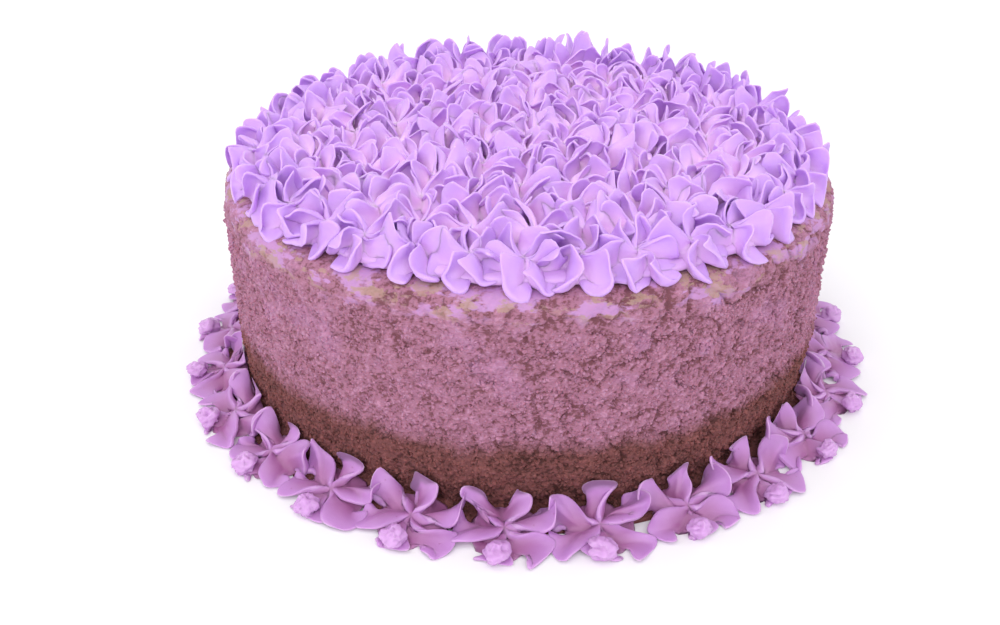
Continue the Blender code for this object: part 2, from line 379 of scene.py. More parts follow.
@dataclass(frozen=True)
class CrumbFinish:
    """Dry cake crumbs with painted shade in the gaps and painted highlights on the crumbs, a painted dark
    brown shade towards the foot, and icing smeared near the top.
    """

    name: str
    # pale, middle and dark paint light and shade on the relief: highlights on raised crumbs, shade in the
    # gaps
    pale: Colour
    middle: Colour
    dark: Colour
    # the painted dark brown shade towards the foot, where the side is drawn in
    foot: Colour
    foot_height: float = 0.0265  # up to where the crumbs take the painted dark brown shade
    foot_fade: float = 0.008
    foot_wander: float = 0.010  # how far that line wanders up and down
    foot_share: float = 0.92
    foot_gap: float = 0.42  # brightness, within the painted foot shade, of a gap with its painted shade and of a crumb with its painted highlight
    foot_crumb: float = 1.35
    veil: Colour = (0.46, 0.22, 0.40)  # icing rubbed thinly into the crumbs
    veil_height: float = 0.034
    veil_fade: float = 0.018
    veil_range: tuple[float, float] = (0.49, 0.64)
    veil_share: float = 0.34
    streak_wander: float = 0.020
    crumb: float = 0.0021  # width of a clump of crumbs
    crumb_share: float = 0.60
    speck: float = 0.0008  # width of a small crumb
    flattened: float = 1.6  # how much wider than tall
    cloud: float = 0.012
    cloud_share: float = 0.22
    tone_share: float = 0.32
    open_range: tuple[float, float] = (0.575, 0.735)  # brightness between a gap with its painted shade and a face
    bright_range: tuple[float, float] = (0.75, 0.93)
    roughness: float = 0.85
    wiped_gloss: float = 0.40  # how much smoother wiped icing is
    relief: float = 0.80
    relief_depth: float = 0.0009
    wiped_relief: float = 0.65  # how much flatter wiped icing is
    glow: float = 0.15  # share of light that scatters inside
    glow_depth: float = 0.0010
    shine: float = 0.25
    shows_through: bool = True

    def make(self) -> bpy.types.Material:
        """The material, which reads the tone kept in the mesh.

        Returns:
            The material.
        """
        material, tree, shader = new_material(self.name)
        place = tree.add("ShaderNodeTexCoord").outputs["Object"]
        height = tree.height(place)
        wide = tree.stretched(place, self.flattened)
        clumps = tree.noise(wide, self.crumb, detail=3.0, roughness=0.55)
        clumps = tree.share(clumps, self.crumb_share)
        specks = tree.share(tree.noise(wide, self.speck), 1.0 - self.crumb_share)
        fine = tree.math("ADD", clumps, specks)
        cloud = tree.noise(place, self.cloud, detail=3.0)
        light = tree.math("ADD", fine, tree.share(tree.attribute("tone"), self.tone_share))
        light = tree.math("ADD", light, tree.share(cloud, self.cloud_share))
        # painted light and shade, with some tone that differs at random: the noise that raises the bump makes
        # crumbs pale and gaps dark
        open_face = tree.ramp(light, *self.open_range)
        bright_face = tree.ramp(light, *self.bright_range)
        colour = tree.mix(open_face, self.dark, self.middle)
        colour = tree.mix(bright_face, colour, self.pale)
        rubbed = tree.ramp(height, self.veil_height, self.veil_height + self.veil_fade)
        rubbed = tree.math("MULTIPLY", tree.ramp(cloud, *self.veil_range), rubbed)
        colour = tree.mix(tree.share(rubbed, self.veil_share), colour, self.veil)
        # painted shade: darker and browner towards the bottom, with a wandering top line
        foot_shade = tree.math("ADD", height, tree.share(cloud, self.foot_wander))
        foot_shade = tree.ramp(foot_shade, self.foot_height + self.foot_fade, self.foot_height)
        shade = tree.mix(open_face, tuple(self.foot_gap * c for c in self.foot), self.foot)
        shade = tree.mix(bright_face, shade, tuple(self.foot_crumb * c for c in self.foot))
        colour = tree.mix(tree.share(foot_shade, self.foot_share), colour, shade)
        rough, strength = self.roughness, self.relief
        if self.shows_through:
            rise = tree.math("ADD", height, tree.share(cloud, self.streak_wander))
            wiped = SMEARS.spots(tree, place, rise)
            colour = tree.mix(tree.share(wiped, SMEARS.share), colour, SMEARS.colour)
            bare = BARE_SPONGE.spots(tree, place, rise)
            colour = tree.mix(tree.share(bare, BARE_SPONGE.share), colour, BARE_SPONGE.colour)
            rough = tree.math("SUBTRACT", rough, tree.share(wiped, self.wiped_gloss))
            strength = tree.math("SUBTRACT", strength, tree.share(wiped, self.wiped_relief))
        bump = tree.add("ShaderNodeBump")
        tree.set(bump, Strength=strength, Distance=self.relief_depth, Height=fine)
        tree.set(shader, Base_Color=colour, Normal=bump.outputs["Normal"], Roughness=rough)
        tree.set(shader, Subsurface_Weight=self.glow, Subsurface_Scale=self.glow_depth)
        tree.set(shader, Specular_IOR_Level=self.shine)
        return material


def mesh_piece(
    name: str,
    points: Points,
    faces: Faces,
    material: bpy.types.Material,
    numbers: dict[str, Points] | None = None,
) -> bpy.types.Object:
    """Makes a smooth mesh object with its place in its mesh.

    Args:
        name: The piece's name.
        points: One row of x, y and z for each point.
        faces: The points of each face, anticlockwise seen from outside.
        material: Its finish.
        numbers: A number for each point, by the name that the finish reads it by.

    Returns:
        The object.
    """
    mesh = bpy.data.meshes.new(name)
    mesh.from_pydata(points.tolist(), [], faces)
    mesh.materials.append(material)
    mesh.shade_smooth()
    for key, values in (numbers or {}).items():
        attribute = mesh.attributes.new(key, "FLOAT", "POINT")
        attribute.data.foreach_set("value", np.asarray(values, np.float32))
    obj = bpy.data.objects.new(name, mesh)
    bpy.context.scene.collection.objects.link(obj)
    return obj


def outward(bearing: float) -> Vector:
    """The level direction at a bearing."""
    return Vector((math.cos(bearing), math.sin(bearing), 0.0))


def ring_faces(rows: int, columns: int) -> Faces:
    """Faces of a skin of rings, lowest first, closed by a point under it and a point over it.

    Args:
        rows: How many rings there are.
        columns: How many points each ring has, anticlockwise seen from above.

    Returns:
        The faces. The lower end point comes after all rings, and the upper one after it.
    """
    faces: Faces = []
    for row in range(rows - 1):
        low, high = row * columns, (row + 1) * columns
        for i in range(columns):
            after = (i + 1) % columns
            faces.append((low + i, low + after, high + after, high + i))
    under, over, last = rows * columns, rows * columns + 1, (rows - 1) * columns
    for i in range(columns):
        after = (i + 1) % columns
        faces.append((under, after, i))
        faces.append((over, last + i, last + after))
    return faces


def smooth_run(stations: tuple[float, ...], count: int) -> Points:
    """Reads a smooth curve through evenly spaced stations.

    Args:
        stations: The values that the curve passes through.
        count: How many values to read, ends included.

    Returns:
        The values.
    """
    knots = np.array([2 * stations[0] - stations[1], *stations, 2 * stations[-1] - stations[-2]])
    at = np.linspace(0.0, len(stations) - 1.0, count)
    cell = np.minimum(at.astype(int), len(stations) - 2)
    t = at - cell
    before, first, second, after = (knots[cell + k] for k in range(4))
    slope_in, slope_out = 0.5 * (second - before), 0.5 * (after - first)
    t2, t3 = t * t, t * t * t
    return (
        (2 * t3 - 3 * t2 + 1) * first
        + (t3 - 2 * t2 + t) * slope_in
        + (3 * t2 - 2 * t3) * second
        + (t3 - t2) * slope_out
    )


@dataclass(frozen=True)
class EdgeForm:
    """The form of a petal's free edge, by stations from its lower side round its end to the flower's heart.

    Ways out and sideways are shares of the flower's radius, and ways up are shares of its height.
    """

    out: tuple[float, ...]
    up: tuple[float, ...]
    lip_side: tuple[float, ...]  # how far the lip's sweep takes each station sideways
    peak_side: tuple[float, ...] = (0.0,) * 10  # the same for the peak's lean
    fan_out: tuple[float, ...] = (0.0,) * 10  # what a fanned petal has more
    fan_up: tuple[float, ...] = (0.0,) * 10
    wave: float = 0.0  # upward waves of the edge
    sweep: float = 2.4  # how late towards the edge the sideways sweep comes
    floor: float = 0.12  # edges lower than this keep their height in a tall or low petal


@dataclass(frozen=True)
class FlowerForm:
    """The form of a drop flower's core, by stations from its foot to its heart, and its petals' thickness."""

    root_out: tuple[float, ...]
    root_up: tuple[float, ...]
    edge_half: float  # half the thickness of the free edge
    foot_half: float  # half the thickness at the foot
    heart_up: float
    rows: int
    across: tuple[float, ...] = (0.18, 0.38, 0.58, 0.77, 0.90, 0.965)  # from the root to the edge
    bow: float = 1.7  # how early a petal reaches out between its root and its edge
    parting: tuple[float, float] = (0.10, 0.45)  # between which its two faces turn along it
    thinning: float = 1.6  # how fast it gets thin with height
    swell: float = 0.9  # how much thicker it is at its root
    round_edge: float = 0.08  # share of the way across over which the edge is rounded
    seam: float = 0.18  # share over which it grows out of the core
    dip_curve: float = 3.2  # how sharp the dips between petals are


TOP_FORM = FlowerForm(
    root_out=(0.44, 0.43, 0.40, 0.36, 0.31, 0.26, 0.21, 0.16, 0.10, 0.05),
    root_up=(-0.14, -0.06, 0.01, 0.08, 0.14, 0.19, 0.23, 0.26, 0.28, 0.29),
    edge_half=0.00032,
    foot_half=0.00060,
    heart_up=0.36,
    rows=19,
)

FOOT_FORM = FlowerForm(
    root_out=(0.70, 0.58, 0.47, 0.38, 0.31, 0.25, 0.20, 0.15, 0.10, 0.05),
    root_up=(0.00, 0.03, 0.07, 0.11, 0.15, 0.19, 0.22, 0.24, 0.26, 0.27),
    edge_half=0.00045,
    foot_half=0.00080,
    heart_up=0.34,
    rows=26,
)

HOOK = EdgeForm(
    out=(0.46, 0.80, 0.98, 1.03, 1.00, 0.93, 0.80, 0.60, 0.38, 0.14),
    up=(-0.06, 0.00, 0.03, 0.12, 0.34, 0.63, 0.87, 1.01, 0.84, 0.42),
    lip_side=(0.66, 1.00, 0.90, 0.52, 0.20, 0.04, 0.00, 0.00, 0.00, 0.00),
    peak_side=(0.00, 0.00, 0.00, 0.08, 0.40, 0.80, 1.00, 0.80, 0.40, 0.05),
    fan_out=(0.00, 0.00, 0.00, 0.00, 0.00, 0.04, 0.09, 0.12, 0.08, 0.00),
    fan_up=(0.00, 0.00, 0.00, 0.02, 0.06, 0.09, 0.03, -0.10, -0.14, -0.04),
    wave=0.05,
)

SCOOP = EdgeForm(
    out=(0.74, 0.80, 0.94, 1.03, 1.06, 1.02, 0.90, 0.66, 0.38, 0.14),
    up=(0.08, 0.20, 0.24, 0.16, 0.10, 0.17, 0.30, 0.36, 0.36, 0.34),
    lip_side=(0.20, 0.34, 0.36, 0.24, 0.02, -0.21, -0.34, -0.33, -0.18, -0.04),
    wave=0.07,
    sweep=1.4,
    floor=0.0,
)

ARCH = EdgeForm(
    out=(0.72, 0.80, 0.96, 1.04, 1.06, 1.02, 0.90, 0.66, 0.40, 0.14),
    up=(0.03, 0.08, 0.18, 0.46, 0.72, 0.72, 0.48, 0.30, 0.31, 0.34),
    lip_side=(0.22, 0.36, 0.40, 0.32, 0.10, -0.14, -0.26, -0.22, -0.12, -0.02),
    wave=0.08,
    sweep=1.4,
)

TONGUE = EdgeForm(
    out=(0.72, 0.72, 0.76, 0.82, 0.86, 0.84, 0.74, 0.54, 0.32, 0.12),
    up=(0.08, 0.26, 0.50, 0.66, 0.73, 0.71, 0.60, 0.46, 0.38, 0.34),
    lip_side=(0.12, 0.20, 0.27, 0.25, 0.10, -0.14, -0.24, -0.20, -0.10, -0.02),
    wave=0.07,
    sweep=1.2,
)


@dataclass(frozen=True)
class Petal:
    """One petal: where it points, how long and tall it is, and how its lip and its peak turn sideways."""

    edge: EdgeForm
    dip: float  # bearing of the dip before it
    bearing: float
    length: float
    tall: float
    lip: float  # sideways sweep of the lip
    lean: float  # sideways lean of the peak
    fan: float  # from 0 for a peak near the heart to 1 for one at the outer corner
    ruffle: float = 0.0  # phase of the waves along its edge


def petal_points(
    form: FlowerForm, petal: Petal, next_dip: float, radius: float, height: float
) -> tuple[Points, Points]:
    """Points of one petal, in rows from its lip up, each from the dip before it over its edge and back.

    Args:
        form: The flower's form.
        petal: This petal.
        next_dip: Bearing of the dip after it.
        radius: The flower's radius.
        height: The flower's height.

    Returns:
        Points as rows × columns × 3, and how near the edge each one is, from 0 to 1.
    """
    rows = form.rows
    edge = petal.edge
    root_out = smooth_run(form.root_out, rows) * radius
    edge_out = (smooth_run(edge.out, rows) + petal.fan * smooth_run(edge.fan_out, rows)) * radius
    edge_out = root_out + np.maximum(edge_out - root_out, 0.0) * petal.length
    edge_up = smooth_run(edge.up, rows) + petal.fan * smooth_run(edge.fan_up, rows)
    edge_up += (petal.tall - 1.0) * np.maximum(edge_up - edge.floor, 0.0)
    along_edge = np.linspace(0.0, 1.0, rows)
    turns = 2.0 * math.pi * RUFFLES * along_edge
    still = np.clip((1.0 - along_edge) / STILL_END, 0.0, 1.0)
    edge_up = height * (edge_up + edge.wave * still * np.sin(2.0 * petal.ruffle + RISES * turns))
    root_up = smooth_run(form.root_up, rows) * height
    side = smooth_run(edge.lip_side, rows) * petal.lip + smooth_run(edge.peak_side, rows) * petal.lean
    side = side + RUFFLE * np.sin(petal.ruffle + turns)
    s = np.array((0.0, *form.across, 1.0))
    middle = np.stack(
        [
            root_out[:, None] + (edge_out - root_out)[:, None] * (1.0 - (1.0 - s) ** form.bow),
            side[:, None] * radius * s**edge.sweep,
            root_up[:, None] * (1.0 - s) + edge_up[:, None] * s,
        ],
        axis=2,
    )
    normal = np.cross(np.gradient(middle, axis=0), np.gradient(middle, s, axis=1))
    normal /= np.maximum(np.linalg.norm(normal, axis=2, keepdims=True), 1e-9)
    start, full = form.parting
    turned = np.clip((s - start) / (full - start), 0.0, 1.0)[None, :, None]
    normal = (1.0 - turned) * np.array((0.0, 1.0, 0.0)) + turned * normal
    rise = np.clip(edge_up / height, 0.0, 1.0)
    thin = np.minimum(1.0, form.thinning * rise)
    half = form.foot_half + (form.edge_half - form.foot_half) * thin
    last = np.maximum(s - (1.0 - form.round_edge), 0.0) / form.round_edge
    cap = np.sqrt(np.clip(1.0 - last**2, 0.0, 1.0))
    wall = half[:, None] * (1.0 + form.swell * (1.0 - s)) * cap * np.minimum(1.0, s / form.seam)
    sides = []
    for sign, gap in ((-1.0, petal.bearing - petal.dip), (1.0, next_dip - petal.bearing)):
        shift = normal * wall[:, :, None] * sign
        shift[:, :, 0] -= root_out[:, None] * (1.0 - math.cos(gap)) * (1.0 - s)
        shift[:, :, 1] += sign * root_out[:, None] * math.sin(gap) * (1.0 - s) ** form.dip_curve
        sides.append(middle + shift)
    grid = np.concatenate([sides[0], sides[1][:, -2:0:-1]], axis=1)
    near = np.concatenate([s, s[-2:0:-1]])
    along, lateral, up = grid[:, :, 0], grid[:, :, 1], grid[:, :, 2]
    cos, sin = math.cos(petal.bearing), math.sin(petal.bearing)
    points = np.stack([along * cos - lateral * sin, along * sin + lateral * cos, up], axis=2)
    return points, np.broadcast_to(near, along.shape)


def flower_mesh(
    form: FlowerForm, petals: list[Petal], radius: float, height: float, curl: float
) -> Shape:
    """A whole flower in its own frame, standing at the origin.

    Args:
        form: The flower's form.
        petals: Its petals, anticlockwise.
        radius: Its radius.
        height: Its height.
        curl: Angle by which its heart is turned against its outer edge.

    Returns:
        Points, how near an edge each is, how high out of the dips each is, and the faces.
    """
    blocks, nearness = [], []
    for k, petal in enumerate(petals):
        next_dip = petals[(k + 1) % len(petals)].dip + (2.0 * math.pi if k + 1 == len(petals) else 0.0)
        points, edge = petal_points(form, petal, next_dip, radius, height)
        blocks.append(points)
        nearness.append(edge)
    grid, near = np.concatenate(blocks, axis=1), np.concatenate(nearness, axis=1)
    rows, columns = grid.shape[:2]
    low = (0.0, 0.0, form.root_up[0] * height)
    top = (0.0, 0.0, form.heart_up * height)
    points = np.concatenate([grid.reshape(-1, 3), [low, top]])
    turn = curl * np.clip(1.0 - np.hypot(points[:, 0], points[:, 1]) / radius, 0.0, 1.0) ** CURL_CURVE
    turned = points[:, 0] + 1j * points[:, 1]
    turned *= np.exp(1j * turn)
    points[:, 0], points[:, 1] = turned.real, turned.imag
    # crest and depth carry the painted edge glow and pit shading that the finish reads
    crest = np.concatenate([near.reshape(-1), [0.0, HEART_CREST]])
    lift = np.clip(points[:, 2] / height, 0.0, 1.0)
    outer = np.clip(np.hypot(points[:, 0], points[:, 1]) / radius - 0.5, 0.0, 1.0)
    by_edge, by_height, by_reach = DEPTH_WEIGHTS
    depth = np.clip(by_edge * crest + by_height * lift + by_reach * outer, 0.0, 1.0)
    return points, crest, depth, ring_faces(rows, columns)


def rough_petals(
    rng: random.Random, start: float, count: int, unevenness: float, spread: float
) -> list[tuple[float, float, float, float]]:
    """Draws a flower's petals before their fine form.

    Args:
        rng: Draws them.
        start: Bearing of the first one.
        count: How many there are.
        unevenness: How far a petal strays from its bearing, as a share of the step between two.
        spread: Share by which lengths and heights differ.

    Returns:
        The bearing of the dip before each petal, its own bearing, its length and its height.
    """
    step = 2.0 * math.pi / count
    return [
        (
            start + step * (k - 0.5),
            start + step * (k + rng.uniform(-unevenness, unevenness)),
            1.0 + rng.uniform(-spread, spread),
            1.0 + rng.uniform(-spread, spread),
        )
        for k in range(count)
    ]


@dataclass
class Batch:
    """Gathers several shapes into one mesh."""

    points: list[Points] = field(default_factory=list)
    faces: Faces = field(default_factory=list)
    numbers: dict[str, list[Points]] = field(default_factory=dict)
    count: int = 0

    def add(self, points: Points, faces: Faces, **numbers: Points) -> None:
        """Adds one shape with its numbers for each point.

        Args:
            points: Its points.
            faces: Its faces, counted from its own first point.
            numbers: A number for each of its points, by name.
        """
        self.faces += [tuple(i + self.count for i in face) for face in faces]
        self.points.append(points)
        self.count += len(points)
        for key, values in numbers.items():
            self.numbers.setdefault(key, []).append(values)

    def piece(self, name: str, material: bpy.types.Material) -> bpy.types.Object:
        """The gathered mesh as an object."""
        numbers = {key: np.concatenate(values) for key, values in self.numbers.items()}
        return mesh_piece(name, np.concatenate(self.points), self.faces, material, numbers)


def moved(points: Points, matrix: Matrix) -> Points:
    """Points put through a matrix."""
    m = np.array(matrix)
    return points @ m[:3, :3].T + m[:3, 3]


def lumps(points: Points, size: float, depth: float) -> Points:
    """Points pushed about by smooth noise, so that nothing is quite regular.

    Args:
        points: The points.
        size: Width of a lump.
        depth: How far a point moves at most.

    Returns:
        The moved points.
    """
    shifts = [[noise.noise(Vector(p) / size + apart) for apart in LUMP_FIELDS] for p in points]
    return points + depth * np.array(shifts)


TONE_WEIGHTS = (0.15, 0.65, 0.25, 0.2, -0.7)  # plain, and what grains, lumps, fine bumps and cracks add to the tone, which paints shade in gaps and cracks
HEAP_SECTION = (  # shares of the bank's width out from the cake, and of its height
    (-0.09, 0.0),
    (1.0, 0.0),
    (0.90, 0.18),
    (0.68, 0.30),
    (0.46, 0.50),
    (0.26, 0.76),
    (0.08, 1.0),
    (-0.09, 1.0),
)


@dataclass
class CakeSide:
    """The round cake with its coat of crumbs."""

    shoulder: float = 0.0060
    undercut: float = 0.0030
    undercut_swing: float = 0.0014
    undercut_bearing: float = math.radians(-20.0)
    undercut_top: float = 0.0240
    undercut_curve: float = 1.6
    cell: float = 0.00074  # spacing of the mesh's points
    smooth_top: float = 0.97  # share of the height from where the relief fades
    lump: float = 0.0045
    lump_depth: float = 0.0009
    grain: float = 0.0017
    grain_depth: float = 0.0006
    grain_edge: float = 1.6  # how steep the sides of a grain are
    grain_level: float = 0.6  # how much of a grain lies under the mean surface
    coarse_share: float = 0.5  # how much deeper grains are where the coat is coarse
    fine_waves: float = 2.2  # fine bumps across a grain
    fine_share: float = 0.35
    crack_bearing: float = math.radians(-48.0)  # the side where the coat is coarse and cracked
    crack: float = 0.0085
    crack_depth: float = 0.0016
    crack_width: float = 0.14  # as a share of the spacing
    crack_field: tuple[float, float, float] = (7.0, 3.0, 1.0)  # where the cracks' noise is read
    heap_height: float = 0.0026  # of the crumbs fallen against the foot
    heap_width: float = 0.0100
    heap_bumps: tuple[float, float] = (0.5, 0.4)  # of a lump's width and of a grain's
    radius: float = field(init=False)
    height: float = field(init=False)

    def __post_init__(self) -> None:
        """Reads the cake's size from the frame."""
        low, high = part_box("cake_body")
        self.radius = 0.25 * (high.x - low.x + high.y - low.y) - 0.5 * self.lump_depth
        self.height = high.z

    def radius_at(self, height: float, bearing: float) -> float:
        """The cake's radius before its crumbs: drawn in at the foot and rounded at the top edge.

        Args:
            height: Height over the underside.
            bearing: Angle round the cake.

        Returns:
            The radius.
        """
        radius = self.radius
        if height < self.undercut_top:
            depth = self.undercut + self.undercut_swing * math.cos(bearing - self.undercut_bearing)
            radius -= depth * (1.0 - height / self.undercut_top) ** self.undercut_curve
        start = self.height - self.shoulder
        if height > start:
            rise = min(1.0, (height - start) / self.shoulder)
            radius -= self.shoulder * (1.0 - math.sqrt(max(0.0, 1.0 - rise * rise)))
        return radius

    def coarseness(self, bearing: float) -> float:
        """How coarse the coat is at a bearing, from 0 to 1."""
        return max(0.0, math.cos(bearing - self.crack_bearing)) ** 2

    def relief(self, point: Vector, bearing: float) -> tuple[float, float]:
        """How far the coat stands out at a point of the side.

        Args:
            point: The point.
            bearing: Its angle round the cake.

        Returns:
            The height of the relief, and its tone from 0 in a gap to 1 on a crumb, which paints shade in the
            gaps and cracks.
        """
        coarse = self.coarseness(bearing)
        near, far = noise.voronoi(point / self.grain, distance_metric="DISTANCE", exponent=2.0)[0][:2]
        grain = min(1.0, self.grain_edge * (far - near))
        lump = noise.noise(point / self.lump)
        fine = noise.noise(point * (self.fine_waves / self.grain))
        crack = noise.noise(point / self.crack + Vector(self.crack_field))
        crack = max(0.0, 1.0 - abs(crack) / self.crack_width) * coarse
        depth = self.lump_depth * lump
        depth += self.grain_depth * (1.0 + self.coarse_share * coarse) * (grain - self.grain_level)
        depth += self.fine_share * self.grain_depth * fine - self.crack_depth * crack
        levels = (1.0, grain, lump, fine, crack)
        tone = math.fsum(weight * level for weight, level in zip(TONE_WEIGHTS, levels))
        return depth, max(0.0, min(1.0, tone))

    def build(self, material: bpy.types.Material) -> bpy.types.Object:
        """The coated side, closed under and over the cake.

        Args:
            material: Its finish.

        Returns:
            The side, with each point's tone kept in its mesh.
        """
        columns = int(2.0 * math.pi * self.radius / self.cell)
        slope = [(h, self.height * h) for h in np.linspace(0.0, 1.0, int(self.height / self.cell))]
        points, tones = [], []
        for share, height in slope:
            still = 1.0 - max(0.0, (share - self.smooth_top) / (1.0 - self.smooth_top))
            for i in range(columns):
                bearing = 2.0 * math.pi * i / columns
                out = outward(bearing)
                base = out * self.radius_at(height, bearing) + Vector((0.0, 0.0, height))
                depth, tone = self.relief(base, bearing)
                points.append(base + out * (depth * still))
                tones.append(tone)
        ends = [(0.0, 0.0, 0.0), (0.0, 0.0, self.height)]
        faces = ring_faces(len(slope), columns)
        points = np.array([*map(tuple, points), *ends])
        piece = mesh_piece("crumb_side", points, faces, material, {"tone": [*tones, 0.5, 0.5]})
        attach(piece, BODY)
        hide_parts("cake_body")
        return piece

    def heap(self, material: bpy.types.Material, columns: int = 620) -> bpy.types.Object:
        """The low bank of crumbs fallen round the foot, as a closed ring.

        Args:
            material: Its finish.
            columns: How many points it has round the cake.

        Returns:
            The ring.
        """
        points, faces = [], []
        corners = len(HEAP_SECTION)
        for i in range(columns):
            bearing = 2.0 * math.pi * i / columns
            out = outward(bearing)
            for share, up in HEAP_SECTION:
                point = out * (self.radius_at(0.0, bearing) + share * self.heap_width)
                bump = 1.0 + self.heap_bumps[0] * noise.noise(point / self.lump)
                bump += self.heap_bumps[1] * noise.noise(point / self.grain)
                points.append((point.x, point.y, up * self.heap_height * bump))
            here, there = i * corners, (i + 1) % columns * corners
            for k in range(corners):
                after = (k + 1) % corners
                faces.append((here + k, there + k, there + after, here + after))
        tones = {"tone": np.full(len(points), 0.4)}
        piece = mesh_piece("crumb_heap", np.array(points), faces, material, tones)
        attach(piece, BODY)
        return piece


@dataclass(frozen=True)
class CrumbKind:
    """One kind of loose-looking crumb on the coat."""

    name: str
    size: float
    spread: float  # share by which sizes differ
    amount: int
    low: float  # lowest and highest place
    high: float
    tone: tuple[float, float]
    seed: int


CRUMB_KINDS = (
    CrumbKind("crumbs_fine", 0.00085, 0.35, 9000, 0.0004, 0.0650, (0.35, 0.80), 3),
    CrumbKind("crumbs_pale", 0.00070, 0.30, 3600, 0.0100, 0.0630, (0.60, 0.95), 4),
    CrumbKind("crumbs_coarse", 0.00125, 0.35, 7600, 0.0008, 0.0620, (0.25, 0.75), 5),
    CrumbKind("crumbs_dark", 0.00100, 0.30, 4600, 0.0006, 0.026, (0.0, 0.60), 6),
)
FALLEN = CrumbKind("crumbs_fallen", 0.00125, 0.40, 3400, 0.0002, 0.010, (0.0, 0.80), 8)


@dataclass
class CrumbScatter:
    """Grains strewn over the coat by a tree of geometry nodes."""

    kind: CrumbKind
    ground: bpy.types.Mesh
    material: bpy.types.Material
    wobble: float = 900.0  # waves for each metre of a grain's rough surface

    def tree(self) -> bpy.types.NodeTree:
        """The tree: points on the side, a rough grain on each, each with its own tone.

        Returns:
            The tree.
        """
        tree = bpy.data.node_groups.new(self.kind.name, "GeometryNodeTree")
        face = tree.interface
        face.new_socket("Ground", in_out="INPUT", socket_type="NodeSocketGeometry")
        for name in ("Density", "Size", "Spread", "Low", "High", "Least tone", "Most tone"):
            face.new_socket(name, in_out="INPUT", socket_type="NodeSocketFloat")
        face.new_socket("Seed", in_out="INPUT", socket_type="NodeSocketInt")
        face.new_socket("Finish", in_out="INPUT", socket_type="NodeSocketMaterial")
        face.new_socket("Grains", in_out="OUTPUT", socket_type="NodeSocketGeometry")
        pen = NodeTree(tree)
        given = pen.add("NodeGroupInput").outputs
        height = pen.height(pen.add("GeometryNodeInputPosition").outputs[0])
        above = pen.pair("FunctionNodeCompare", "GREATER_THAN", height, given["Low"])
        below = pen.pair("FunctionNodeCompare", "LESS_THAN", height, given["High"])
        both = pen.pair("FunctionNodeBooleanMath", "AND", above, below)
        strewn = pen.add("GeometryNodeDistributePointsOnFaces")
        pen.set(strewn, Mesh=given["Ground"], Selection=both)
        pen.set(strewn, Density=given["Density"], Seed=given["Seed"])
        grain = pen.add("GeometryNodeMeshIcoSphere")
        pen.set(grain, Radius=0.5, Subdivisions=1)
        turn = pen.drawn("FLOAT_VECTOR", (0.0,) * 3, (2.0 * math.pi,) * 3, given["Seed"])
        least = pen.math("MULTIPLY", given["Size"], pen.math("SUBTRACT", 1.0, given["Spread"]))
        most = pen.math("MULTIPLY", given["Size"], pen.math("ADD", 1.0, given["Spread"]))
        scale = pen.drawn("FLOAT_VECTOR", least, most, given["Seed"])
        placed = pen.add("GeometryNodeInstanceOnPoints")
        pen.set(placed, Points=strewn.outputs["Points"], Instance=grain.outputs["Mesh"])
        pen.set(placed, Rotation=turn, Scale=scale)
        tone = pen.drawn("FLOAT", given["Least tone"], given["Most tone"], given["Seed"])
        kept = pen.add("GeometryNodeStoreNamedAttribute", data_type="FLOAT", domain="INSTANCE")
        pen.set(kept, Geometry=placed.outputs[0], Name="tone", Value=tone)
        real = pen.add("GeometryNodeRealizeInstances")
        pen.set(real, Geometry=kept.outputs[0])
        rough = pen.add("GeometryNodeSetPosition")
        wobble = pen.add("ShaderNodeTexNoise")
        pen.set(wobble, Scale=self.wobble, Detail=1.0)
        centred = pen.pair("ShaderNodeVectorMath", "SUBTRACT", wobble.outputs["Color"], (0.5, 0.5, 0.5))
        shift = pen.add("ShaderNodeVectorMath", operation="SCALE")
        pen.put(shift.inputs[0], centred)
        pen.put(shift.inputs["Scale"], given["Size"])
        pen.set(rough, Geometry=real.outputs[0], Offset=shift.outputs[0])
        dressed = pen.add("GeometryNodeSetMaterial")
        pen.set(dressed, Geometry=rough.outputs[0], Material=given["Finish"])
        out = pen.add("NodeGroupOutput")
        pen.put(out.inputs["Grains"], dressed.outputs[0])
        return tree

    def build(self) -> bpy.types.Object:
        """The grains of this kind as one plain mesh.

        Returns:
            The piece.
        """
        kind = self.kind
        area = math.fsum(face.area for face in self.ground.polygons if kind.low < face.center.z < kind.high)
        settings = {
            "Density": kind.amount / area,
            "Size": kind.size,
            "Spread": kind.spread,
            "Low": kind.low,
            "High": kind.high,
            "Least tone": kind.tone[0],
            "Most tone": kind.tone[1],
            "Seed": kind.seed,
            "Finish": self.material,
        }
        piece = grown(kind.name, self.ground, self.tree(), settings)
        for vertex in piece.data.vertices:
            vertex.co.z = max(vertex.co.z, 0.0)
        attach(piece, BODY)
        return piece


def grown(
    name: str, ground: bpy.types.Mesh, tree: bpy.types.NodeTree, settings: dict[str, object]
) -> bpy.types.Object:
    """Runs a tree of geometry nodes on a mesh and keeps its outcome as a plain mesh.

    Args:
        name: The new piece's name.
        ground: The mesh that the tree works on.
        tree: The tree.
        settings: Its inputs by name.

    Returns:
        The new object, with no modifier left on it.
    """
    obj = bpy.data.objects.new(name, ground)
    bpy.context.scene.collection.objects.link(obj)
    modifier = obj.modifiers.new("grow", "NODES")
    modifier.node_group = tree
    for item in tree.interface.items_tree:
        if item.in_out == "INPUT" and item.name in settings:
            modifier[item.identifier] = settings[item.name]
    bpy.context.view_layer.update()
    mesh = bpy.data.meshes.new_from_object(obj.evaluated_get(bpy.context.evaluated_depsgraph_get()))
    obj.modifiers.remove(modifier)
    obj.data = mesh
    mesh.name = name
    return obj


